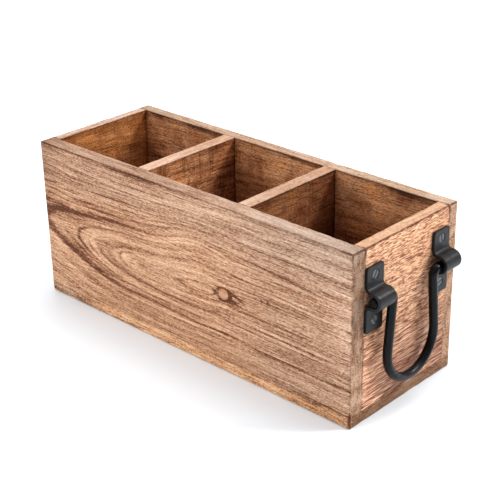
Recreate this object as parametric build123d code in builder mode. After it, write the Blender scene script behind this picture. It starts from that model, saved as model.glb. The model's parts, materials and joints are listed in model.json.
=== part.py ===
from build123d import *
from math import acos, cos, degrees, radians, sin, tan
import os

# Wooden cutlery caddy with open compartments and a black iron drop handle on each end, in millimetres.
# X runs along the caddy's length, the long front face looks along -Y, and +Z is up.
# The origin is the centre of the base board's underside, which rests on the table.

# Box of the caddy
caddy_length = 305.0
caddy_width = 112.0
caddy_height = 127.0
base_thickness = 9.0
front_thickness = 12.5
back_thickness = 10.0
left_end_thickness = 8.0
right_end_thickness = 9.5
divider_thickness = 10.8
edge_round = 1.2
rim_ease = 0.6

# Brads, driven through the long boards and the base and sunk under filler
brad_diameter = 1.2
brad_length = 19.0
brad_set = 1.5
brad_low_row = 20.0
brad_clearance = 0.03
base_brads_per_side = 4
base_brad_inset = 30.0
cross_brad_spread = 48.0

# Bent iron straps that hold the handles
strap_width = 17.0
strap_thickness = 2.3
strap_height = 46.6
strap_drop = 13.5
strap_inset = 11.9
strap_corner_round = 1.6
strap_edge_round = 0.45
loop_drop = 35.4
loop_standoff = 6.5
loop_bore_diameter = 8.6
top_bend_radius = 3.0
low_bend_radius = 2.5

# Handle rod
rod_diameter = 6.4
rod_seat_gap = 0.3
rod_end_chamfer = 0.5
handle_end_play = 0.8
handle_floor_gap = 17.8
handle_bend_radius = 4.2
handle_bend_gap = 0.3
leg_lean = 5.6

# Slotted countersunk wood screws
screw_length = 9.5
screw_shank_diameter = 3.0
screw_head_diameter = 6.0
screw_tip_length = 2.5
screw_clearance = 0.05
screw_hole_diameter = 3.4
countersink_diameter = 6.8
countersink_angle = 90.0
slot_width = 0.9
slot_depth = 0.8
front_slot_angles = (62.0, 118.0)
back_slot_angles = (98.0, 12.0)

# Places of the boards, worked out from the box
left_face = -caddy_length / 2
right_face = caddy_length / 2
front_face = -caddy_width / 2
back_face = caddy_width / 2
inner_left = left_face + left_end_thickness
inner_right = right_face - right_end_thickness
inner_front = front_face + front_thickness
inner_back = back_face - back_thickness
bay_length = (inner_right - inner_left - 2 * divider_thickness) / 3
left_divider_start = inner_left + bay_length
right_divider_start = left_divider_start + divider_thickness + bay_length

# Places of the straps and of the handle's rod, on the right end
strap_top = caddy_height - strap_drop
strap_bottom = strap_top - strap_height
loop_z = caddy_height - loop_drop
loop_radius = loop_bore_diameter / 2
loop_outer_radius = loop_radius + strap_thickness
front_strap_y = front_face + strap_inset + strap_width / 2
back_strap_y = back_face - strap_inset - strap_width / 2
rod_radius = rod_diameter / 2
rod_x = right_face + loop_standoff
rod_z = loop_z - (loop_radius - rod_radius - rod_seat_gap)

# Each bend of the strap turns until it is tangent to the loop
top_turn = degrees(
    acos((strap_thickness + top_bend_radius - loop_standoff) / (top_bend_radius + loop_outer_radius))
)
low_turn = degrees(
    acos((strap_thickness + low_bend_radius - loop_standoff) / (low_bend_radius + loop_outer_radius))
)
top_bend_z = loop_z + (top_bend_radius + loop_outer_radius) * sin(radians(top_turn))
low_bend_z = loop_z - (low_bend_radius + loop_outer_radius) * sin(radians(low_turn))
screw_heights = ((strap_top + top_bend_z) / 2, (strap_bottom + low_bend_z) / 2)

# The handle slid to the front: its front end is flush with the front strap's outer edge
handle_y = (front_strap_y + back_strap_y) / 2 - handle_end_play
handle_half_span = (back_strap_y - front_strap_y + strap_width) / 2 - handle_end_play
front_strap_reach = handle_y - front_strap_y - strap_width / 2
bend_tangent = handle_bend_radius * tan(radians(90 + leg_lean) / 2)
leg_corner = front_strap_reach - handle_bend_gap - bend_tangent
handle_drop = rod_z - handle_floor_gap - rod_radius
lean = radians(leg_lean)
bow_radius = (leg_corner * cos(lean) + handle_drop * sin(lean)) / (1 + sin(lean))
leg_length = (handle_drop - bow_radius - bow_radius * sin(lean)) / cos(lean) - bend_tangent

# Rows of brads keep clear of the strap screws
brad_rows = (base_thickness + brad_low_row, loop_z, caddy_height - strap_drop / 2)
cross_boards = (
    inner_left - left_end_thickness / 2,
    left_divider_start + divider_thickness / 2,
    right_divider_start + divider_thickness / 2,
    inner_right + right_end_thickness / 2,
)
side_brads = [(x, z) for x in cross_boards for z in brad_rows]
base_brad_step = (caddy_length - 2 * base_brad_inset) / (base_brads_per_side - 1)
base_brads = [
    (left_face + base_brad_inset + i * base_brad_step, y)
    for i in range(base_brads_per_side)
    for y in ((front_face + inner_front) / 2, (back_face + inner_back) / 2)
]
base_brads += [
    (x, (inner_front + inner_back) / 2 + side * cross_brad_spread / 2)
    for x in cross_boards
    for side in (-1, 1)
]
brad_radius = brad_diameter / 2
brad_hole_radius = brad_radius + brad_clearance

os.makedirs("parts", exist_ok=True)


def save(builder, name):
    """Label a finished piece and write it to its own file."""
    builder.part.label = name
    export_step(builder.part, f"parts/{name}.step")


def board(x_range, y_range, z_range):
    """Add a plain board between two corners to the piece being built."""
    centre = tuple((low + high) / 2 for low, high in (x_range, y_range, z_range))
    with Locations(centre):
        Box(*[high - low for low, high in (x_range, y_range, z_range)])


def front_brads(radius, mode):
    """Pins driven backwards from under the front face."""
    with BuildSketch(Plane.XZ.offset(-(front_face + brad_set))) as heads:
        with Locations(side_brads):
            Circle(radius)
    extrude(heads.sketch, amount=-brad_length, mode=mode)


def back_brads(radius, mode):
    """Pins driven forwards from under the back face."""
    with BuildSketch(Plane.XZ.offset(-(back_face - brad_set))) as heads:
        with Locations(side_brads):
            Circle(radius)
    extrude(heads.sketch, amount=brad_length, mode=mode)


def upward_brads(radius, mode):
    """Pins driven up through the base board into the walls."""
    with BuildSketch(Plane.XY.offset(brad_set)) as heads:
        with Locations(base_brads):
            Circle(radius)
    extrude(heads.sketch, amount=brad_length, mode=mode)


# Base board, under all four walls
with BuildPart() as base_board:
    board((left_face, right_face), (front_face, back_face), (0, base_thickness))
    fillet(base_board.edges().filter_by(Axis.Z), edge_round)
    fillet(base_board.faces().sort_by(Axis.Z)[0].edges(), rim_ease)
    upward_brads(brad_hole_radius, Mode.SUBTRACT)
save(base_board, "base_board")

# Long front board, its ends showing on both end faces
with BuildPart() as front_panel:
    board((left_face, right_face), (front_face, inner_front), (base_thickness, caddy_height))
    shown = front_panel.faces().sort_by(Axis.Y)[0].edges().sort_by(Axis.Z)[1:]
    rim_ends = front_panel.faces().sort_by(Axis.Z)[-1].edges().filter_by(Axis.Y)
    fillet(shown + rim_ends, edge_round)
    fillet(front_panel.faces().sort_by(Axis.Z)[-1].edges().sort_by(Axis.Y)[-1], rim_ease)
    front_brads(brad_hole_radius, Mode.SUBTRACT)
    upward_brads(brad_hole_radius, Mode.SUBTRACT)
save(front_panel, "front_panel")

# Long back board
with BuildPart() as back_panel:
    board((left_face, right_face), (inner_back, back_face), (base_thickness, caddy_height))
    shown = back_panel.faces().sort_by(Axis.Y)[-1].edges().sort_by(Axis.Z)[1:]
    rim_ends = back_panel.faces().sort_by(Axis.Z)[-1].edges().filter_by(Axis.Y)
    fillet(shown + rim_ends, edge_round)
    fillet(back_panel.faces().sort_by(Axis.Z)[-1].edges().sort_by(Axis.Y)[0], rim_ease)
    back_brads(brad_hole_radius, Mode.SUBTRACT)
    upward_brads(brad_hole_radius, Mode.SUBTRACT)
save(back_panel, "back_panel")


def screw_holes(face_x, direction):
    """Bore the pilot holes of one end's strap screws."""
    depth = screw_length - strap_thickness
    for y in (front_strap_y, back_strap_y):
        for z in screw_heights:
            with BuildSketch(Plane((face_x, y, z), z_dir=(direction, 0, 0))) as mouth:
                Circle(screw_shank_diameter / 2 + screw_clearance)
            extrude(mouth.sketch, amount=-depth, mode=Mode.SUBTRACT)


# Short end boards, between the long ones
with BuildPart() as right_end_panel:
    board((inner_right, right_face), (inner_front, inner_back), (base_thickness, caddy_height))
    rim = right_end_panel.faces().sort_by(Axis.Z)[-1].edges().filter_by(Axis.Y).sort_by(Axis.X)
    fillet(rim[-1], edge_round)
    fillet(right_end_panel.faces().sort_by(Axis.Z)[-1].edges().sort_by(Axis.X)[0], rim_ease)
    front_brads(brad_hole_radius, Mode.SUBTRACT)
    back_brads(brad_hole_radius, Mode.SUBTRACT)
    upward_brads(brad_hole_radius, Mode.SUBTRACT)
    screw_holes(right_face, 1)
save(right_end_panel, "right_end_panel")

with BuildPart() as left_end_panel:
    board((left_face, inner_left), (inner_front, inner_back), (base_thickness, caddy_height))
    rim = left_end_panel.faces().sort_by(Axis.Z)[-1].edges().filter_by(Axis.Y).sort_by(Axis.X)
    fillet(rim[0], edge_round)
    fillet(left_end_panel.faces().sort_by(Axis.Z)[-1].edges().sort_by(Axis.X)[-1], rim_ease)
    front_brads(brad_hole_radius, Mode.SUBTRACT)
    back_brads(brad_hole_radius, Mode.SUBTRACT)
    upward_brads(brad_hole_radius, Mode.SUBTRACT)
    screw_holes(left_face, -1)
save(left_end_panel, "left_end_panel")

# Two dividers, which make three equal compartments
for name, start in (("left_divider", left_divider_start), ("right_divider", right_divider_start)):
    with BuildPart() as divider:
        board((start, start + divider_thickness), (inner_front, inner_back), (base_thickness, caddy_height))
        fillet(divider.faces().sort_by(Axis.Z)[-1].edges().filter_by(Axis.Y), rim_ease)
        front_brads(brad_hole_radius, Mode.SUBTRACT)
        back_brads(brad_hole_radius, Mode.SUBTRACT)
        upward_brads(brad_hole_radius, Mode.SUBTRACT)
    save(divider, name)

# The brads themselves
with BuildPart() as front_panel_brads:
    front_brads(brad_radius, Mode.ADD)
save(front_panel_brads, "front_panel_brads")

with BuildPart() as back_panel_brads:
    back_brads(brad_radius, Mode.ADD)
save(back_panel_brads, "back_panel_brads")

with BuildPart() as base_board_brads:
    upward_brads(brad_radius, Mode.ADD)
save(base_board_brads, "base_board_brads")


def strap_line(depth):
    """Draw one long face of the bent strap: depth 0 lies on the wall, the full thickness faces out."""
    tab = Line((depth, strap_top), (depth, top_bend_z))
    shoulder = JernArc(tab @ 1, tab % 1, top_bend_radius + strap_thickness - depth, top_turn)
    loop = JernArc(shoulder @ 1, shoulder % 1, loop_radius + depth, -(top_turn + low_turn))
    heel = JernArc(loop @ 1, loop % 1, low_bend_radius + strap_thickness - depth, low_turn)
    Line(heel @ 1, (depth, strap_bottom))


def bent_strap(centre_y):
    """Strap of the right end: two screwed tabs with a loop between them, open to the wall."""
    with BuildPart() as strap:
        with BuildSketch(Plane((right_face, centre_y, 0), x_dir=(1, 0, 0), z_dir=(0, -1, 0))):
            with BuildLine():
                strap_line(0)
                strap_line(strap_thickness)
                Line((0, strap_top), (strap_thickness, strap_top))
                Line((0, strap_bottom), (strap_thickness, strap_bottom))
            make_face()
        extrude(amount=strap_width / 2, both=True)
        fillet(strap.edges().filter_by(Axis.X), strap_corner_round)
        long_edges = strap.faces().filter_by(Axis.Y).edges().filter_by(Axis.X, reverse=True)
        fillet(long_edges, strap_edge_round)
        for z in screw_heights:
            with Locations(Plane((right_face + strap_thickness, centre_y, z), z_dir=(1, 0, 0))):
                CounterSinkHole(
                    screw_hole_diameter / 2, countersink_diameter / 2, counter_sink_angle=countersink_angle
                )
    return strap


def strap_screws(centre_y, slot_angles):
    """The two screws of one right-hand strap, heads seated in its countersinks."""
    head_radius = screw_head_diameter / 2
    shank_radius = screw_shank_diameter / 2
    cone_slope = tan(radians(countersink_angle / 2))
    sunk = (countersink_diameter / 2 - head_radius - screw_clearance) / cone_slope
    head_height = (head_radius - shank_radius) / cone_slope
    top = strap_thickness - sunk
    tip = strap_thickness - screw_length
    with BuildPart() as screws:
        for z, angle in zip(screw_heights, slot_angles):
            axis = Plane((right_face, centre_y, z), x_dir=(1, 0, 0), z_dir=(0, -1, 0))
            with BuildSketch(axis):
                Polygon(
                    (top, 0),
                    (top, head_radius),
                    (top - head_height, shank_radius),
                    (tip + screw_tip_length, shank_radius),
                    (tip, 0),
                    align=None,
                )
            revolve(axis=Axis((right_face, centre_y, z), (1, 0, 0)))
            with BuildSketch(Plane((right_face + top, centre_y, z), x_dir=(0, 1, 0), z_dir=(1, 0, 0))):
                Rectangle(screw_head_diameter, slot_width, rotation=angle)
            extrude(amount=-slot_depth, mode=Mode.SUBTRACT)
    return screws


def drop_handle():
    """Handle of the right end: a round rod bent to a U, its two ends turned out into the straps."""
    with BuildPart() as handle:
        with BuildLine(Plane((rod_x, handle_y, rod_z), x_dir=(0, 1, 0), z_dir=(1, 0, 0))) as rod:
            front_end = Line((-handle_half_span, 0), (-leg_corner - bend_tangent, 0))
            front_bend = JernArc(front_end @ 1, front_end % 1, handle_bend_radius, -(90 + leg_lean))
            front_leg = Line(front_bend @ 1, front_bend @ 1 + leg_length * (front_bend % 1))
            bow = JernArc(front_leg @ 1, front_leg % 1, bow_radius, 180 + 2 * leg_lean)
            back_leg = Line(bow @ 1, bow @ 1 + leg_length * (bow % 1))
            back_bend = JernArc(back_leg @ 1, back_leg % 1, handle_bend_radius, -(90 + leg_lean))
            Line(back_bend @ 1, (handle_half_span, 0))
        with BuildSketch(Plane(rod.line @ 0, z_dir=rod.line % 0)):
            Circle(rod_radius)
        sweep(path=rod.line)
        rod_ends = handle.faces().filter_by(Axis.Y)
        chamfer(rod_ends.edges(), rod_end_chamfer)
    return handle


def save_both_ends(builder, name):
    """Write a right-hand piece, and its mirror image for the left end."""
    with BuildPart() as opposite:
        mirror(builder.part, about=Plane.YZ)
    save(builder, f"right_{name}")
    save(opposite, f"left_{name}")


# Iron fittings, alike on both ends
save_both_ends(bent_strap(front_strap_y), "front_strap")
save_both_ends(bent_strap(back_strap_y), "back_strap")
save_both_ends(strap_screws(front_strap_y, front_slot_angles), "front_strap_screws")
save_both_ends(strap_screws(back_strap_y, back_slot_angles), "back_strap_screws")
save_both_ends(drop_handle(), "handle")
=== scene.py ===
import json
from math import cos, radians, sin

import bmesh
import bpy
from mathutils import Matrix, Vector, noise as lattice


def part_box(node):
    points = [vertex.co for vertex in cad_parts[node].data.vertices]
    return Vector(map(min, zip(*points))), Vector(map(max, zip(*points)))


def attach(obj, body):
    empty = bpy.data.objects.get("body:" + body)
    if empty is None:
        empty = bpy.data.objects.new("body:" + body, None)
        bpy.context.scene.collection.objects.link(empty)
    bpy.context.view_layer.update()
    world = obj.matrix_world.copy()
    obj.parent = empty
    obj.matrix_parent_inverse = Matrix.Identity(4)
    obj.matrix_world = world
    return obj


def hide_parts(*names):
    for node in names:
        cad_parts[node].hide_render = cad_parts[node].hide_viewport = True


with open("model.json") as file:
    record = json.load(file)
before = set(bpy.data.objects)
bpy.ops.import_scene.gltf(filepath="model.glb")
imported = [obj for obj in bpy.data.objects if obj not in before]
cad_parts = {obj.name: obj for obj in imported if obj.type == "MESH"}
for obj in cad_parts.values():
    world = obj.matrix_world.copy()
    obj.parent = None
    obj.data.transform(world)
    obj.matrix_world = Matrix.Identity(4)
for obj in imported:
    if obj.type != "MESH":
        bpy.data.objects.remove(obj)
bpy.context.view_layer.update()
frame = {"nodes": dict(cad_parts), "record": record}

MM = 0.001


def corners(node):
    """The low and the high corner of a node's box, in millimetres."""
    return [Vector(corner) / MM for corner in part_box(node)]


# Places on the box, in millimetres
END = corners("front_panel")[1].x
FRONT = corners("front_panel")[0].y
BACK = corners("back_panel")[1].y
BACK_INSIDE = corners("back_panel")[0].y
TOP = corners("front_panel")[1].z
BASE_SEAM = corners("base_board")[1].z
FIRST_BAY = corners("left_divider")[1].x
BAY_PITCH = corners("right_divider")[1].x - FIRST_BAY
KNOT_X, KNOT_Z = 40.0, 61.6
# The knocked corner of the base: its place and size, and the way that it is pushed
CHIP = Vector((END, FRONT, 6.5))
CHIP_RADIUS = 4.5
CHIP_DEPTH = 1.3
CHIP_WAY = Vector((-1.0, 0.6, 0.0))


# Values that flow through a material's nodes
class Wire:
    """A number or colour in a node tree; arithmetic on it adds nodes."""

    def __init__(self, tree, socket):
        self.tree = tree
        self.socket = socket

    def __add__(self, other):
        return calculate(self.tree, "ADD", self, other)

    def __sub__(self, other):
        return calculate(self.tree, "SUBTRACT", self, other)

    def __rsub__(self, other):
        return calculate(self.tree, "SUBTRACT", other, self)

    def __mul__(self, other):
        return calculate(self.tree, "MULTIPLY", self, other)

    def __truediv__(self, other):
        return calculate(self.tree, "DIVIDE", self, other)


def add_node(tree, kind, **settings):
    """A new node of a kind, with its settings."""
    made = tree.nodes.new(kind)
    for key, value in settings.items():
        setattr(made, key, value)
    return made


def feed(tree, socket, value):
    """Connect a wire to a socket, or set a plain value on it."""
    if isinstance(value, Wire):
        tree.links.new(value.socket, socket)
    else:
        socket.default_value = value


def calculate(tree, operation, *values):
    """The result of a sum on wires and plain numbers."""
    made = add_node(tree, "ShaderNodeMath", operation=operation)
    for socket, value in zip(made.inputs, values):
        feed(tree, socket, value)
    return Wire(tree, made.outputs[0])


def larger(a, b):
    return calculate(a.tree, "MAXIMUM", a, b)


def smaller(a, b):
    return calculate(a.tree, "MINIMUM", a, b)


def root(a):
    return calculate(a.tree, "SQRT", a)


def size_of(a):
    return calculate(a.tree, "ABSOLUTE", a)


def rise(value, low, high):
    """0 below low, 1 above high, smooth between; falls instead where low is above high."""
    tree = value.tree
    made = add_node(tree, "ShaderNodeMapRange", interpolation_type="SMOOTHSTEP")
    made.inputs["To Min"].default_value = 0.0 if low < high else 1.0
    made.inputs["To Max"].default_value = 1.0 if low < high else 0.0
    made.inputs["From Min"].default_value = min(low, high)
    made.inputs["From Max"].default_value = max(low, high)
    feed(tree, made.inputs["Value"], value)
    return Wire(tree, made.outputs["Result"])


def bell(value, centre, width):
    """1 at the centre, falling off smoothly on both sides."""
    off = (value - centre) / width
    return calculate(value.tree, "EXPONENT", off * off * -1.0)


def window(value, low, high, soft):
    """1 between low and high, 0 outside, with soft borders."""
    return rise(value, low - soft, low + soft) * rise(value, high + soft, high - soft)


def curve(value, low, high, points, top, handles="AUTO"):
    """A curve drawn through points, read between low and high."""
    tree = value.tree
    share = add_node(tree, "ShaderNodeMapRange")
    share.inputs["From Min"].default_value = low
    share.inputs["From Max"].default_value = high
    feed(tree, share.inputs["Value"], value)
    made = add_node(tree, "ShaderNodeFloatCurve")
    line = made.mapping.curves[0]
    scaled = [((at - low) / (high - low), height / top) for at, height in points]
    line.points[0].location = scaled[0]
    line.points[1].location = scaled[-1]
    for at, height in scaled[1:-1]:
        line.points.new(at, height)
    for point in line.points:
        point.handle_type = handles
    made.mapping.update()
    feed(tree, made.inputs["Value"], Wire(tree, share.outputs["Result"]))
    return Wire(tree, made.outputs[0]) * top


SEED_STEP = (17.3, 7.7, 3.1)


def noise(point, detail, seed):
    """Smooth noise around 0.5 at a point of three wires, in units of one grain."""
    tree = next(p.tree for p in point if isinstance(p, Wire))
    joined = add_node(tree, "ShaderNodeCombineXYZ")
    for socket, value in zip(joined.inputs, point):
        feed(tree, socket, value)
    moved = add_node(tree, "ShaderNodeVectorMath", operation="ADD")
    tree.links.new(joined.outputs[0], moved.inputs[0])
    moved.inputs[1].default_value = [step * seed for step in SEED_STEP]
    made = add_node(tree, "ShaderNodeTexNoise")
    tree.links.new(moved.outputs[0], made.inputs["Vector"])
    made.inputs["Scale"].default_value = 1.0
    made.inputs["Detail"].default_value = detail
    return Wire(tree, made.outputs[0])


def mix(share, first, second, blend_type="MIX"):
    """Colour between first and second."""
    tree = share.tree
    made = add_node(tree, "ShaderNodeMix", data_type="RGBA", blend_type=blend_type)
    feed(tree, made.inputs[0], share)
    for socket, colour in ((made.inputs[6], first), (made.inputs[7], second)):
        feed(tree, socket, colour if isinstance(colour, Wire) else (*colour, 1.0))
    return Wire(tree, made.outputs[2])


def ramp(value, stops):
    """Colour read from a list of (place, colour) stops."""
    tree = value.tree
    made = add_node(tree, "ShaderNodeValToRGB")
    elements = made.color_ramp.elements
    while len(elements) < len(stops):
        elements.new(0.5)
    for element, (place, colour) in zip(elements, stops):
        element.position = place
        element.color = (*colour, 1.0)
    feed(tree, made.inputs[0], value)
    return Wire(tree, made.outputs[0])


def new_material(name):
    """An empty material, its shader, and the place of each point in millimetres."""
    made = bpy.data.materials.new(name)
    made.use_nodes = True
    tree = made.node_tree
    shader = tree.nodes["Principled BSDF"]
    place = add_node(tree, "ShaderNodeTexCoord")
    split = add_node(tree, "ShaderNodeSeparateXYZ")
    tree.links.new(place.outputs["Object"], split.inputs[0])
    point = [Wire(tree, out) * (1.0 / MM) for out in split.outputs]
    return made, shader, point


def set_bump(shader, height, depth_mm):
    """Raise the surface by a height from 0 to 1, depth_mm tall."""
    tree = height.tree
    made = add_node(tree, "ShaderNodeBump")
    made.inputs["Strength"].default_value = 1.0
    made.inputs["Distance"].default_value = depth_mm * MM
    feed(tree, made.inputs["Height"], height)
    tree.links.new(made.outputs[0], shader.inputs["Normal"])


# Wood
WARM = [
    (0.00, (0.095, 0.029, 0.012)),
    (0.20, (0.220, 0.084, 0.038)),
    (0.42, (0.420, 0.212, 0.114)),
    (0.62, (0.590, 0.335, 0.198)),
    (0.82, (0.730, 0.455, 0.285)),
    (1.00, (0.840, 0.580, 0.390)),
]
SALMON = [
    (0.00, (0.180, 0.062, 0.030)),
    (0.22, (0.360, 0.150, 0.078)),
    (0.42, (0.580, 0.295, 0.165)),
    (0.62, (0.740, 0.420, 0.248)),
    (0.82, (0.850, 0.540, 0.345)),
    (1.00, (0.930, 0.660, 0.460)),
]
BROWN = [
    (0.00, (0.070, 0.026, 0.011)),
    (0.22, (0.190, 0.080, 0.033)),
    (0.42, (0.350, 0.165, 0.075)),
    (0.62, (0.480, 0.245, 0.122)),
    (0.82, (0.600, 0.340, 0.185)),
    (1.00, (0.720, 0.450, 0.270)),
]
AMBER = [
    (0.00, (0.090, 0.028, 0.008)),
    (0.22, (0.230, 0.085, 0.024)),
    (0.42, (0.390, 0.160, 0.050)),
    (0.62, (0.520, 0.240, 0.088)),
    (0.82, (0.620, 0.320, 0.140)),
    (1.00, (0.720, 0.420, 0.210)),
]
GOLD = [
    (0.00, (0.130, 0.048, 0.020)),
    (0.22, (0.300, 0.128, 0.056)),
    (0.42, (0.510, 0.255, 0.122)),
    (0.62, (0.660, 0.370, 0.195)),
    (0.82, (0.760, 0.470, 0.280)),
    (1.00, (0.840, 0.570, 0.370)),
]


def grain(along, across, rings, depth, seed, figure, fine):
    """Tone around 0.5: bands that follow the rings, fibres and flecks that run along the board."""
    broad = noise((along / 240.0, rings / 11.0, depth / 40.0), 2.0, seed=seed)
    band = noise((along / 150.0, rings / 3.6, depth / 25.0), 2.5, seed=seed + 1)
    line = noise((along / 90.0, rings / 1.5, depth / 8.0), 1.5, seed=seed + 2)
    drift = noise((along / 30.0, across / 9.0, depth / 9.0), 2.0, seed=seed + 5) - 0.5
    fibre = noise((along / 22.0, (across + drift * 2.0) / 0.65, depth / 1.5), 1.0, seed=seed + 3)
    fleck = noise((along / 1.9, (across + drift * 3.0) / 0.62, depth / 0.9), 1.0, seed=seed + 4)
    rings_tone = (broad - 0.5) * 0.55 + (band - 0.5) * 0.75 + (line - 0.5) * 0.60
    fine_tone = (fibre - 0.5) * 0.75 + (fleck - 0.5) * 0.95
    return rings_tone * figure + fine_tone * fine + 0.48


def edge_gap(point, node):
    """How far a point of a board's skin lies from the board's nearest edge, in millimetres."""
    gaps = [smaller(p - low, high - p) for p, low, high in zip(point, *corners(node))]
    lesser = smaller(gaps[0], gaps[1])
    greater = larger(gaps[0], gaps[1])
    return larger(lesser, smaller(greater, gaps[2]))


def on_rim(z):
    """1 on top of the walls, 0 below."""
    return rise(z, TOP - 0.7, TOP - 0.2)


def on_end(x):
    """1 on the two end faces of a long board, 0 between them."""
    return rise(size_of(x), END - 0.45, END - 0.05)


def chip_mask(point):
    """A narrow dark mark, painted shade in the dent of the knocked corner at the near bottom end, and its
    colour.
    """
    x, y, z = (p - c for p, c in zip(point, CHIP))
    return rise(root(x * x + y * y + z * z * 0.12), 2.7, 1.5), (0.26, 0.17, 0.14)


# Colours that every board's finish mixes in, its shine, and the depth of relief in millimetres
PALE_BLOTCH = (0.50, 0.36, 0.25)
DARK_BLOTCH = (0.26, 0.115, 0.055)
OLIVE = (0.46, 0.31, 0.19)
# Colour of the dark edges: dirt, and painted shade in the seams between boards
EDGE_DIRT_AND_SHADE = (0.36, 0.26, 0.21)
RIM_LINE = (0.30, 0.20, 0.16)
WOOD_SHEEN = 0.14
WOOD_RELIEF = 0.16
IRON_RELIEF = 0.30


def finish_wood(shader, point, node, tone, colour, seed, tints):
    """Blotches, dark edges (dirt, and painted shade in the seams between boards), sheen and relief that every
    board has; tints are (mask, colour) pairs.
    """
    x, y, z = point
    tree = x.tree
    blotch = noise((x / 45.0, y / 45.0, z / 38.0), 2.0, seed=seed)
    hue = noise((x / 14.0, y / 6.0, z / 3.0), 2.0, seed=seed + 2)
    clear = rise(tone, 0.05, 0.40)
    colour = mix(rise(blotch, 0.50, 0.78) * clear * 0.14, colour, PALE_BLOTCH)
    colour = mix(rise(blotch, 0.50, 0.25) * 0.16, colour, DARK_BLOTCH)
    colour = mix(rise(hue, 0.50, 0.72) * clear * 0.30, colour, OLIVE)
    for mask, tint in tints:
        colour = mix(mask, colour, tint, "MULTIPLY")
    ragged = noise((x / 2.2, y / 2.2, z / 2.2), 2.0, seed=seed + 1)
    outside = larger(rise(size_of(x), END - 4.0, END - 2.0), rise(size_of(y), BACK - 4.0, BACK - 2.0))
    outer_rim = rise(z, TOP - 8.0, TOP - 4.0) * outside
    gap = edge_gap(point, node)
    # Darker within about a millimetre of every edge: dirt on the edges, and painted shade in the seams
    # between boards
    dirt_and_seam_shade = (rise(ragged, 0.42, 0.60) * 0.28 + 0.24) * (1.0 - bell(z, BASE_SEAM, 2.4) * 0.75)
    dirt_and_seam_shade = rise(gap + (ragged - 0.5) * 1.2, 1.2, 0.35) * dirt_and_seam_shade
    colour = mix(dirt_and_seam_shade, colour, EDGE_DIRT_AND_SHADE, "MULTIPLY")
    line = rise(gap + (ragged - 0.5) * 0.9, 1.35, 0.85) * outer_rim
    line = line * (rise(ragged, 0.66, 0.44) * 0.35 + 0.60)
    faded = rise(x, -142.0, -96.0) * rise(x, 146.0, 138.0) * 0.62
    colour = mix(line * (1.0 - faded), colour, RIM_LINE, "MULTIPLY")
    feed(tree, shader.inputs["Base Color"], colour)
    feed(tree, shader.inputs["Roughness"], (blotch - 0.5) * 0.16 - tone * 0.12 + 0.68)
    shader.inputs["Specular IOR Level"].default_value = WOOD_SHEEN
    set_bump(shader, tone, WOOD_RELIEF)


# Dark streaks of the front board's flame: ring, half width and strength, from the pith outwards
UPPER_LEFT = (
    (16.4, 0.9, 0.22), (21.5, 0.7, 0.14), (26.5, 0.8, 0.24), (30.0, 0.7, 0.14), (34.0, 2.6, 0.42),
    (40.0, 0.9, 0.26), (44.0, 1.2, 0.38), (48.0, 0.8, 0.24), (54.8, 1.0, 0.30), (58.5, 0.7, 0.22),
    (62.0, 1.2, 0.32),
)
UPPER_RIGHT = (
    (10.5, 0.7, 0.12), (15.4, 0.9, 0.20), (22.6, 0.9, 0.18), (27.5, 1.0, 0.20), (34.0, 1.5, 0.42),
    (41.0, 0.9, 0.14), (47.0, 0.9, 0.14),
)
LOWER_LEFT = (
    (15.2, 0.6, 0.24), (17.2, 0.6, 0.26), (19.4, 0.6, 0.24), (21.8, 0.7, 0.32), (24.2, 0.7, 0.40),
    (26.4, 0.5, 0.28), (30.0, 2.8, 0.48),
)
LOWER_RIGHT = (
    (8.0, 0.7, 0.12), (14.2, 0.9, 0.22), (18.6, 0.9, 0.18), (21.4, 0.8, 0.12), (25.0, 0.9, 0.14),
    (30.0, 1.7, 0.46),
)
NOSES = (
    (5.9, 0.45, 0.40), (11.6, 0.4, 0.20), (13.9, 0.5, 0.40), (21.0, 0.4, 0.24), (23.5, 0.45, 0.46),
    (30.4, 0.5, 0.42),
)
BROAD_ABOVE = ((34.0, 4.8, 1.0),)
BROAD_BELOW = ((30.2, 4.4, 0.14),)
KNOT_EYE = (0.50, 0.25, 0.135)
# Rings on which the tables above put the broadest dark streak, and the last ring that they cover
MAIN_ABOVE = 34.0
MAIN_BELOW = 30.0
LAST_RING = 80.0
# How far from the middle the curves along the front board reach, in millimetres
CURVE_END = 153.0


def streaks(ring, marks):
    """How dark the streaks of a list of marks make a ring."""
    points = [(0.0, 0.0)]
    for place, width, strength in marks:
        points += [(place - width, 0.0), (place, strength), (place + width, 0.0)]
    points.append((LAST_RING, 0.0))
    return curve(ring, 0.0, LAST_RING, points, 1.0, "VECTOR")


def along_front(x, points, top):
    """A curve along the front board, from its left end to its right end."""
    return curve(x, -CURVE_END, CURVE_END, points, top)


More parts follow.
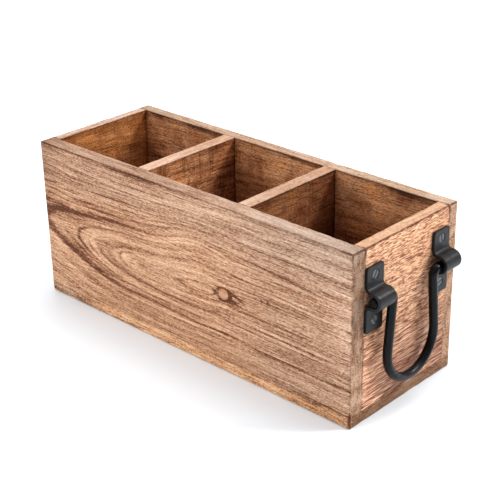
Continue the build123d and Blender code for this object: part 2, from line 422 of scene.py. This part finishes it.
def front_wood():
    """The long front board: flame figure that opens from a nose on the left, with one knot."""
    made, shader, point = new_material("front_wood")
    x, y, z = point
    depth = y - FRONT
    sway = noise((x / 60.0, y / 60.0, z / 22.0), 2.0, seed=3) - 0.5
    # Where the pith lies behind the face, and how high
    pith_depth = along_front(x, [
        (-153, 31), (-137, 27.6), (-120, 24.6), (-95, 19.5), (-52, 11.5), (0, 5.5), (40, 3), (153, 3),
    ], 40.0)
    pith_height = along_front(x, [
        (-153, 66), (-142, 65.5), (-115, 61.5), (-62, 57.6), (0, 58.2), (40, 61), (153, 61),
    ], 100.0)
    above = z - pith_height
    swell = bell(x, 12.0, 30.0) * rise(above, 62.0, 28.0)
    upper = rise(above, -0.5, 0.5)
    reach = above * ((0.2 - swell * 0.33) * upper + 1.0)
    knot_x = x - KNOT_X
    knot_z = z - KNOT_Z
    knot = root(knot_x * knot_x * 0.50 + knot_z * knot_z)
    off = pith_depth + depth
    rings = root(off * off + reach * reach) + sway * 0.8 + bell(knot, 0.0, 9.0) * 4.0
    end_face = on_end(x)
    face = 1.0 - end_face
    tone = grain(x, z, rings, depth, 11.0, rise(rings, 3.0, 9.0) * (face * 0.7 + 0.3), 1.1)
    wobble = (noise((x / 34.0, y / 30.0, z / 26.0), 2.0, seed=8) - 0.5) * 0.7
    streaked = rings + wobble
    # The ring of the broadest streak above and below the pith, and streaks that keep their place beside it
    main_above = along_front(x, [
        (-153, 33.2), (-138, 31.8), (-116, 31.2), (-90, 32.4), (-62, 34), (-28, 35), (8, 35.4), (60, 38.6),
        (120, 34.2), (153, 33),
    ], 60.0)
    main_below = along_front(x, [
        (-153, 31.2), (-112, 29.4), (-74, 29.2), (-20, 28.2), (24, 30), (97, 33), (153, 31.9),
    ], 60.0)
    ring_above = streaked - main_above + MAIN_ABOVE
    ring_below = streaked - main_below + MAIN_BELOW
    dark_above = streaks(ring_above, UPPER_LEFT) * rise(x, -22.0, -60.0)
    dark_above = dark_above + streaks(ring_above, UPPER_RIGHT) * window(x, 30.0, 128.0, 24.0)
    left = rise(x, -60.0, -84.0)
    dark_below = streaks(ring_below, LOWER_LEFT) * left + streaks(ring_below, LOWER_RIGHT) * (1.0 - left)
    over = rise(above, 0.0, 5.0)
    under = rise(above, 0.0, -5.0)
    dark = dark_above * over + dark_below * under
    dark = dark + streaks(streaked, NOSES) * rise(size_of(above), 10.0, 5.0)
    thick = rise(x, -58.0, -104.0) * 0.26 + rise(x, -112.0, -142.0) * 0.46
    dark = dark + streaks(ring_above, BROAD_ABOVE) * over * thick
    dark = dark + streaks(ring_below, BROAD_BELOW) * under * window(x, -138.0, -84.0, 14.0)
    patchy = noise((x / 16.0, y / 6.0, z / 2.0), 2.0, seed=9)
    dark = smaller(dark, (patchy - 0.5) * 0.8 + 0.52)
    end_grain = (noise((x / 50.0, y / 1.4, z / 14.0), 2.0, seed=10) - 0.5) * 0.5
    end_grain = end_grain + (noise((x / 50.0, y / 6.0, z / 9.0), 2.0, seed=12) - 0.5)
    # The knot: a round tan eye in a ragged dark ring, a smear on its right with a tail, and pits further off
    ragged = (noise((x / 3.4, y / 3.4, z / 3.4), 2.5, seed=5) - 0.5) * 3.0
    eye = rise(root(knot_x * knot_x * 0.85 + knot_z * knot_z) + ragged * 0.35, 4.5, 3.7)
    ring_side = rise(knot_x - knot_z * 1.6, -9.0, 7.0) * 0.26 + 0.30
    ring_mark = rise(knot + ragged * 0.8, 6.2, 5.2) * (1.0 - eye) * ring_side
    smear = bell(knot_x - 9.0 + ragged, 0.0, 6.5) * bell(knot_z + 2.8 + ragged * 0.5, 0.0, 2.6) * 0.54
    tail_line = knot_z - 3.2 + (knot_x - 7.0) * 0.30 + ragged * 0.3
    tail = bell(tail_line, 0.0, 1.2) * window(knot_x, 6.0, 19.0, 4.0) * 0.58
    cheek = bell(knot_x + 8.6 + ragged * 0.5, 0.0, 1.2) * bell(knot_z + 1.0, 0.0, 3.0) * 0.25
    pits = bell(x, 79.0, 5.0) * bell(z, 68.0, 3.0) * rise(ragged, 0.0, 0.45) * 0.50
    knot_dark = ring_mark + smear + tail + cheek + pits
    # A smudge under the rim, strongest on the left
    smudge = window(x, -92.0, -22.0, 26.0) * 0.28 + 0.10
    under_rim = rise(z + (ragged + wobble) * 1.1, TOP - 5.8, TOP - 1.6)
    dark_under_rim = under_rim * rise(y, FRONT + 1.4, FRONT + 0.4) * smudge
    light = bell(x, 2.0, 34.0) * bell(z, 66.0, 12.0) * 0.10
    light = light + bell(x, -128.0, 13.0) * bell(z, 62.0, 9.0) * 0.12
    tone = tone + light * face + end_grain * end_face
    tone = tone - dark * face * (patchy * 0.8 + 0.6) - knot_dark * face - dark_under_rim
    rim = on_rim(z)
    tone = tone + (0.48 - tone) * rim * 0.3
    colour = mix(eye * 0.45, ramp(tone, WARM), KNOT_EYE)
    low_right = rise(x * 0.35 - z, -40.0, 30.0)
    tints = (
        (end_face, (0.58, 0.62, 0.67)),
        (end_face * rise(z, 90.0, 30.0), (1.56, 1.60, 1.62)),
        (face * rise(z, 84.0, 112.0), (0.89, 0.94, 1.01)),
        (face * rise(x, 20.0, 110.0), (0.94, 1.01, 1.10)),
        (face * rise(x, 130.0, 149.0) * bell(z, 60.0, 32.0), (1.19, 1.27, 1.38)),
        (face * rise(x, -126.0, -150.0) * rise(z, 76.0, 92.0), (0.76, 0.72, 0.70)),
        (low_right * 0.55, (0.80, 0.78, 0.76)),
        (rim, (0.83, 0.90, 0.99)),
        chip_mask(point),
    )
    finish_wood(shader, point, "front_panel", tone, colour, 21.0, tints)
    return made


def plank_wood(
    slot, node, axes, pith, slope, palette, seed, masks, figure=1.0, fine=1.5, dashes=0.0, calm=0.3
):
    """A plain board: axes say which way its grain, width and thickness run, pith where its rings centre.

    figure, fine and dashes weigh its bands, fibres and short dashes; calm evens out the grain of its rim.
    """
    made, shader, point = new_material(slot)
    along, across, depth = (point[i] for i in axes)
    sway = noise((along / 40.0, across / 20.0, depth / 40.0), 2.0, seed=seed + 30) - 0.5
    off = depth - pith[1] + along * slope
    side = across - pith[0]
    rings = root(off * off + side * side) + sway * 3.0
    tone = grain(along, across, rings, depth, seed, figure, fine)
    if axes[0] == 0:
        end_grain = noise((along / 50.0, across / 14.0, depth / 1.4), 2.0, seed=seed + 33) - 0.5
        tone = tone + end_grain * on_end(point[0]) * 0.7
    rim = on_rim(point[2])
    if dashes:
        # The dashes are longer and closer together low on the board
        low = rise(across, 75.0, 30.0)
        wave = noise((along / 9.0, across / 7.0, depth / 9.0), 2.0, seed=seed + 31) - 0.5
        row = (across - 75.0 + wave * (2.4 - low * 1.2)) * (low * 0.45 + 1.55)
        dash = noise((along / (low * 8.0 + 4.6), row, depth / 2.0), 1.0, seed=seed + 32)
        dashed = rise(dash, 0.50, 0.36) * (low * 0.55 + 0.35) - rise(dash, 0.48, 0.64)
        tone = tone + dashed * (low * 0.6 + 1.0) * (1.0 - rim) * dashes
    tone = tone + (0.52 - tone) * rim * calm
    finish_wood(shader, point, node, tone, ramp(tone, palette), seed + 40, masks(point))
    return made


PLAIN = (1.0, 1.0, 1.0)


def inner_masks(strength, inside, seed, saw, far=PLAIN, dark_under_rim=0.0, outside=PLAIN, fade=PLAIN, corner=PLAIN):
    """Tints of a wall: a paler rim, and inner faces with blotches, saw marks across the grain and painted
    shade.

    far tints the inner face towards the right, outside the outer face; fade darkens the rim towards the back,
    and corner is painted shade that darkens the inner face towards the back. Painted shade also darkens the
    inner face lower down and low in the right bay, and dark_under_rim darkens the inner face just under the
    rim.
    """
    def masks(point):
        x, y, z = point
        rim = on_rim(z)
        skin = larger(rise(size_of(x), END - 5.5, END - 3.5), rise(size_of(y), BACK - 7.0, BACK - 5.0))
        below = (1.0 - rim) * (1.0 - skin)
        back_end = rise(size_of(x), END - 0.6, END - 0.1)
        back_end = back_end * rise(size_of(y), BACK_INSIDE + 0.2, BACK_INSIDE + 0.8)
        cloud = noise((x / 24.0, y / 16.0, z / 20.0), 3.0, seed=seed)
        marks = noise((x / 9.0, y / 1.6, z / 60.0), 2.0, seed=seed + 1) * rise(cloud, 0.42, 0.56)
        share = calculate(x.tree, "FRACT", (x - FIRST_BAY) / BAY_PITCH)
        edge = z + rise(share, 0.30, 0.90) * 5.0 + (cloud - 0.5) * 5.0
        return (
            (rim, strength),
            (rim * rise(y, -50.0, 50.0), fade),
            # Painted shade: the inner face darker towards the back corner
            (below * rise(y, 2.0, 42.0), corner),
            ((1.0 - rim) * skin, outside),
            (back_end, (0.81, 0.74, 0.71)),
            (below, inside),
            (below * rise(x, 40.0, 130.0), far),
            # Painted shade: the inner face darker lower down in the compartments, and low in the right bay
            (below * rise(z, 112.0, 62.0), (0.68, 0.58, 0.52)),
            (below * rise(x, 40.0, 56.0) * rise(z, 106.0, 76.0), (0.64, 0.56, 0.52)),
            (below * rise(cloud, 0.50, 0.70) * 0.8, (0.66, 0.50, 0.36)),
            (below * rise(cloud, 0.48, 0.30) * 0.8, (1.22, 1.10, 0.90)),
            (below * rise(marks, 0.36, 0.62) * saw, (0.40, 0.32, 0.28)),
            (below * rise(z + (cloud - 0.5) * 12.0, TOP - 8.0, TOP - 1.0) * 0.5, (0.60, 0.52, 0.46)),
            (below * rise(z, TOP - 2.1, TOP - 1.2) * 0.6, (0.45, 0.37, 0.33)),
            # Darker just under the rim, in a wedge that grows towards the right end of each bay
            (below * rise(edge, TOP - 1.8, TOP + 0.4) * dark_under_rim, (0.30, 0.26, 0.25)),
        )
    return masks


def end_masks(point):
    """The end board is redder and darker low down, with painted light on its low near part, and dark cloudy
    columns that are partly wood figure and partly painted shadow of the handle's legs.
    """
    x, y, z = point
    rim = on_rim(z)
    cloud = noise((x / 20.0, y / 9.0, z / 26.0), 2.0, seed=51)
    columns = rise(cloud, 0.34, 0.54)
    return (
        (rise(z, 70.0, 110.0), (1.18, 1.17, 1.16)),
        (rise(z, 80.0, 14.0) * (1.0 - rise(y, -8.0, -30.0) * 0.9), (0.71, 0.565, 0.55)),
        ((1.0 - rim) * rise(cloud, 0.52, 0.72) * 0.35, (0.66, 0.50, 0.42)),
        # Painted light: lightens the low near part, where the near strap and the handle cast shadow
        (rise(y, -14.0, -34.0) * rise(z, 66.0, 30.0), (1.28, 1.15, 1.14)),
        # Dark columns left of the handle's legs: partly wood figure, partly painted shadow of the legs
        (bell(y, 15.0, 7.0) * bell(z, 52.0, 20.0) * columns * 0.7, (0.58, 0.42, 0.35)),
        (bell(y, -29.0, 6.0) * bell(z, 50.0, 13.0) * columns * 0.5, (0.64, 0.48, 0.40)),
        (rim, (0.64, 0.69, 0.74)),
    )


def base_masks(point):
    """The base board's ends are dark end grain, its right part is browner and its left part greyer."""
    x = point[0]
    return (
        (rise(size_of(x), END - 0.6, END - 0.1), (0.52, 0.50, 0.50)),
        (rise(x, 70.0, 130.0) * 0.7, (0.74, 0.70, 0.68)),
        (rise(x, -90.0, -130.0) * 0.8, (0.78, 0.86, 1.02)),
        chip_mask(point),
    )


# Iron
def screw_rings(y, z):
    """1 in the painted shade of the gap round each strap screw's head, the same at both ends."""
    near = []
    for node in ("right_front_strap_screws", "right_back_strap_screws"):
        low, high = corners(node)
        radius = (high.y - low.y) / 2.0
        for centre in (low.z + radius, high.z - radius):
            off_y = y - (low.y + radius)
            off_z = z - centre
            near.append(bell(root(off_y * off_y + off_z * off_z), radius, 0.7))
    return near[0] + near[1] + near[2] + near[3]


# Colour of the bow's bottom: grip wear, and a painted reflection of the floor
GRIP_WEAR_AND_REFLECTION = (0.034, 0.030, 0.031)


def iron(name, colour, rough, shine, seed, rings=False, worn=0.0):
    """Blackened iron: satin, a little uneven, with small pits; worn lightens the bottom of the bow, as wear
    where a hand grips it and as a painted reflection of the floor.
    """
    made, shader, (x, y, z) = new_material(name)
    tree = x.tree
    hammer = noise((x / 4.5, y / 4.5, z / 4.5), 2.0, seed=seed)
    pit = rise(noise((x / 0.7, y / 0.7, z / 0.7), 2.0, seed=seed + 1), 0.60, 0.75)
    cloud = noise((x / 9.0, y / 9.0, z / 9.0), 3.0, seed=seed + 2)
    pale = tuple(c * 2.1 for c in colour)
    shade = mix(rise(cloud, 0.40, 0.75) * 0.6, colour, pale)
    # Lighter at the bottom of the bow: grip wear, and a painted reflection of the floor
    shade = mix(rise(z, 28.0, 18.5) * worn, shade, GRIP_WEAR_AND_REFLECTION)
    # Darker in the pits, and with rings in the painted shade round the screw heads
    gap = larger(pit * 0.5, screw_rings(y, z)) if rings else pit * 0.5
    feed(tree, shader.inputs["Base Color"], mix(gap, shade, tuple(c * 0.2 for c in colour)))
    feed(tree, shader.inputs["Roughness"], (cloud - 0.5) * 0.35 + pit * 0.2 + rough)
    shader.inputs["Specular IOR Level"].default_value = shine
    set_bump(shader, hammer - pit * 0.12, IRON_RELIEF)
    return made


def steel(name):
    """Bright drawn wire of the hidden brads."""
    made, shader, (x, y, z) = new_material(name)
    streak = noise((x / 1.2, y / 1.2, z / 1.2), 2.0, seed=4)
    feed(x.tree, shader.inputs["Roughness"], streak * 0.3 + 0.2)
    feed(x.tree, shader.inputs["Base Color"], mix(streak, (0.42, 0.42, 0.43), (0.60, 0.60, 0.61)))
    shader.inputs["Metallic"].default_value = 1.0
    return made


# Axes of a board's grain, width and thickness
ALONG_X = (0, 2, 1)
ALONG_Y = (1, 2, 0)
LYING = (0, 1, 2)
TO_THE_BACK = {"fade": (0.82, 0.74, 0.66), "corner": (0.60, 0.50, 0.45)}
materials = {
    "front_wood": front_wood(),
    "back_wood": plank_wood(
        "back_wood", "back_panel", ALONG_X, (40.0, 90.0), 0.10, BROWN, 61.0,
        inner_masks(
            (0.86, 1.07, 1.43), (1.06, 0.96, 0.88), 62.0, 0.3,
            far=(0.76, 0.74, 0.72), dark_under_rim=0.9, outside=(1.20, 1.42, 1.72),
        ),
    ),
    "base_wood": plank_wood(
        "base_wood", "base_board", LYING, (10.0, -26.0), 0.06, GOLD, 71.0, base_masks,
    ),
    "left_end_wood": plank_wood(
        "left_end_wood", "left_end_panel", ALONG_Y, (50.0, -190.0), 0.2, AMBER, 81.0,
        inner_masks((1.02, 1.48, 2.86), (1.06, 0.94, 0.80), 82.0, 0.3, outside=(1.36, 1.66, 2.30)),
    ),
    "right_end_wood": plank_wood(
        "right_end_wood", "right_end_panel", ALONG_Y, (60.0, 120.0), 0.12, SALMON, 91.0, end_masks,
        figure=0.36, fine=1.05, dashes=0.50,
    ),
    "left_divider_wood": plank_wood(
        "left_divider_wood", "left_divider", ALONG_Y, (30.0, -80.0), 0.2, BROWN, 101.0,
        inner_masks((1.26, 1.64, 2.42), (1.30, 1.13, 1.00), 102.0, 0.7, **TO_THE_BACK),
        figure=0.8, fine=1.4, calm=0.55,
    ),
    "right_divider_wood": plank_wood(
        "right_divider_wood", "right_divider", ALONG_Y, (90.0, 10.0), 0.2, BROWN, 111.0,
        inner_masks((1.16, 1.46, 2.10), (0.67, 0.54, 0.45), 112.0, 0.4, **TO_THE_BACK),
        calm=0.55,
    ),
    "strap_iron": iron("strap_iron", (0.0090, 0.0082, 0.0088), 0.40, 0.21, 5.0, rings=True),
    "handle_iron": iron("handle_iron", (0.0014, 0.0012, 0.0013), 0.28, 0.14, 15.0, worn=0.9),
    "screw_iron": iron("screw_iron", (0.033, 0.033, 0.035), 0.28, 0.62, 25.0),
    "brad_steel": steel("brad_steel"),
}
slots = {row["node"]: row["material_slot"] for row in frame["record"]["subparts"]}
for name, obj in frame["nodes"].items():
    obj.data.materials.clear()
    obj.data.materials.append(materials[slots[name]])

# Boards with eased and knocked edges, in place of the plain ones
# Each face of a board has a letter: left, right, front, back, down, up; an edge is named by its two faces
FACES = (("l", "r"), ("f", "b"), ("d", "u"))
CELL = 4.0
# Roundings of edges, and how far from an edge and how deep knocks go, in millimetres
CORNER, OUTER, RIM, SEAM = 1.8, 1.2, 0.6, 0.25
REACH = 2.6
KNOCK = 0.55
ON_EDGE = 0.01


def edge_name(point, low, high):
    """The letters of the two faces nearest to a point, its distance from the second, and both faces' data."""
    near = []
    for axis in range(3):
        gaps = (point[axis] - low[axis], high[axis] - point[axis])
        side = 0 if gaps[0] < gaps[1] else 1
        near.append((gaps[side], FACES[axis][side], axis, 1.0 - 2.0 * side))
    near.sort()
    return "".join(sorted(n[1] for n in near[:2])), near[1][0], near[:2]


def worn_board(name, node, slot, rounds, seed, chip=False):
    """A board cut into cells, its edges rounded by the given radii and then knocked about a little."""
    low, high = corners(node)
    size = high - low
    bm = bmesh.new()
    bmesh.ops.create_cube(bm, size=1.0)
    for vert in bm.verts:
        vert.co = Vector(a + s * (c + 0.5) for a, s, c in zip(low, size, vert.co))
    for axis in range(3):
        cells = max(1, round(size[axis] / CELL))
        normal = Vector(float(axis == i) for i in range(3))
        for i in range(1, cells):
            at = normal * (low[axis] + size[axis] * i / cells)
            parts = bm.verts[:] + bm.edges[:] + bm.faces[:]
            bmesh.ops.bisect_plane(bm, geom=parts, plane_co=at, plane_no=normal)
    biggest = max(rounds.values())
    weight = bm.edges.layers.float.new("bevel_weight_edge")
    for edge in bm.edges:
        middle = (edge.verts[0].co + edge.verts[1].co) / 2.0
        key, gap, _ = edge_name(middle, low, high)
        if gap < ON_EDGE:
            edge[weight] = rounds.get(key, 0.0) / biggest
    mesh = bpy.data.meshes.new(name)
    bm.to_mesh(mesh)
    bm.free()
    obj = bpy.data.objects.new(name, mesh)
    bpy.context.scene.collection.objects.link(obj)
    bevel = obj.modifiers.new("rounded edges", "BEVEL")
    bevel.limit_method = "WEIGHT"
    bevel.width = biggest
    bevel.segments = 3
    bevel.use_clamp_overlap = False
    graph = bpy.context.evaluated_depsgraph_get()
    obj.data = bpy.data.meshes.new_from_object(obj.evaluated_get(graph))
    obj.modifiers.clear()
    offset = Vector((seed, seed * 0.7, seed * 1.3))
    for vert in obj.data.vertices:
        point = vert.co.copy()
        key, gap, near = edge_name(point, low, high)
        if rounds.get(key, 0.0) > SEAM and gap < REACH:
            knock = lattice.noise(point * 0.11 + offset) * 0.9 + lattice.noise(point * 0.37 - offset) * 0.5
            for _, _, axis, inward in near:
                vert.co[axis] += inward * max(0.0, knock) * KNOCK * (1.0 - gap / REACH)
        if chip:
            share = max(0.0, 1.0 - (point - CHIP).length / CHIP_RADIUS)
            vert.co += CHIP_WAY * CHIP_DEPTH * share
    obj.data.transform(Matrix.Scale(MM, 4))
    obj.data.shade_smooth()
    normals = obj.modifiers.new("flat faces", "WEIGHTED_NORMAL")
    normals.weight = 100
    obj.data.materials.clear()
    obj.data.materials.append(materials[slot])
    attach(obj, "caddy")
    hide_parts(node)


worn_board("front_board", "front_panel", "front_wood", {
    "fu": OUTER, "bu": RIM, "lu": OUTER, "ru": OUTER, "fl": OUTER, "fr": OUTER,
    "bl": SEAM, "br": SEAM, "df": SEAM, "dl": SEAM, "dr": SEAM,
}, 3.0, chip=True)
worn_board("back_board", "back_panel", "back_wood", {
    "bu": OUTER, "fu": RIM, "lu": OUTER, "ru": OUTER, "bl": OUTER, "br": CORNER,
    "fl": SEAM, "fr": SEAM, "bd": SEAM, "dl": SEAM, "dr": SEAM,
}, 13.0)
worn_board("right_end_board", "right_end_panel", "right_end_wood", {
    "ru": OUTER, "lu": RIM, "fr": SEAM, "br": SEAM, "dr": SEAM, "fu": SEAM, "bu": SEAM,
}, 23.0)
worn_board("left_end_board", "left_end_panel", "left_end_wood", {
    "lu": OUTER, "ru": RIM, "fl": SEAM, "bl": SEAM, "dl": SEAM, "fu": SEAM, "bu": SEAM,
}, 33.0)
worn_board("left_divider_board", "left_divider", "left_divider_wood", {
    "lu": RIM, "ru": RIM, "fu": SEAM, "bu": SEAM,
}, 43.0)
worn_board("right_divider_board", "right_divider", "right_divider_wood", {
    "lu": RIM, "ru": RIM, "fu": SEAM, "bu": SEAM,
}, 53.0)
worn_board("bottom_board", "base_board", "base_wood", {
    "df": OUTER, "bd": OUTER, "dl": OUTER, "dr": OUTER, "fl": OUTER, "fr": OUTER, "bl": OUTER,
    "br": CORNER, "fu": SEAM, "bu": SEAM, "lu": SEAM, "ru": SEAM,
}, 63.0, chip=True)

# Floor
bpy.ops.mesh.primitive_plane_add(size=8.0, location=(0.0, 0.0, 0.0))
floor = bpy.context.object
floor.name = "floor"
paper, paper_shader, _ = new_material("floor_paper")
paper_shader.inputs["Base Color"].default_value = (0.875, 0.93, 0.98, 1.0)
paper_shader.inputs["Roughness"].default_value = 0.9
floor.data.materials.append(paper)

# Light
world = bpy.data.worlds.new("studio")
bpy.context.scene.world = world
world.use_nodes = True
sky_tree = world.node_tree
sky = sky_tree.nodes["Background"]
sky.inputs[0].default_value = (1.0, 1.0, 1.0, 1.0)
heading = add_node(sky_tree, "ShaderNodeTexCoord")
split = add_node(sky_tree, "ShaderNodeSeparateXYZ")
sky_tree.links.new(heading.outputs["Generated"], split.inputs[0])
height = Wire(sky_tree, split.outputs[2])
feed(sky_tree, sky.inputs[1], rise(height, -0.1, 0.9) * 0.42 + bell(height, 0.0, 0.09) * 0.60 + 0.28)


def softbox(name, place, aim, width, height, watts):
    """A flat lamp at a place, turned towards its aim."""
    lamp = bpy.data.lights.new(name, "AREA")
    lamp.shape = "RECTANGLE"
    lamp.size = width
    lamp.size_y = height
    lamp.energy = watts
    obj = bpy.data.objects.new(name, lamp)
    bpy.context.scene.collection.objects.link(obj)
    obj.location = place
    obj.rotation_mode = "QUATERNION"
    obj.rotation_quaternion = (Vector(aim) - Vector(place)).to_track_quat("-Z", "Y")


softbox("overhead", (-0.2, 0.45, 1.7), (0.0, 0.0, 0.0), 1.5, 1.2, 22.0)
softbox("front_fill", (-0.8, -1.9, 0.95), (0.0, 0.0, 0.06), 1.6, 0.9, 28.5)
softbox("side_right", (1.15, 1.05, 1.30), (0.15, 0.0, 0.06), 0.42, 0.42, 27.0)

# Camera, at the photo's place
SENSOR = 36.0
FOCAL_PIXELS = 1247.2
PICTURE_PIXELS = 500.0
DISTANCE = 0.9186
azimuth, elevation, roll = radians(43.52), radians(25.42), radians(-1.004)
back = Vector((sin(azimuth) * cos(elevation), -cos(azimuth) * cos(elevation), sin(elevation)))
level = Vector((cos(azimuth), sin(azimuth), 0.0))
upright = back.cross(level)
right = level * cos(roll) + upright * sin(roll)
up = upright * cos(roll) - level * sin(roll)
target = Vector((6.73, 6.32, 62.61)) * MM
camera = bpy.data.objects.new("camera", bpy.data.cameras.new("camera"))
bpy.context.scene.collection.objects.link(camera)
camera.data.sensor_width = SENSOR
camera.data.lens = SENSOR * FOCAL_PIXELS / PICTURE_PIXELS
turned = Matrix((right, up, back)).transposed().to_4x4()
camera.matrix_world = Matrix.Translation(target + back * DISTANCE) @ turned
bpy.context.scene.camera = camera
bpy.context.scene.view_settings.view_transform = "Standard"
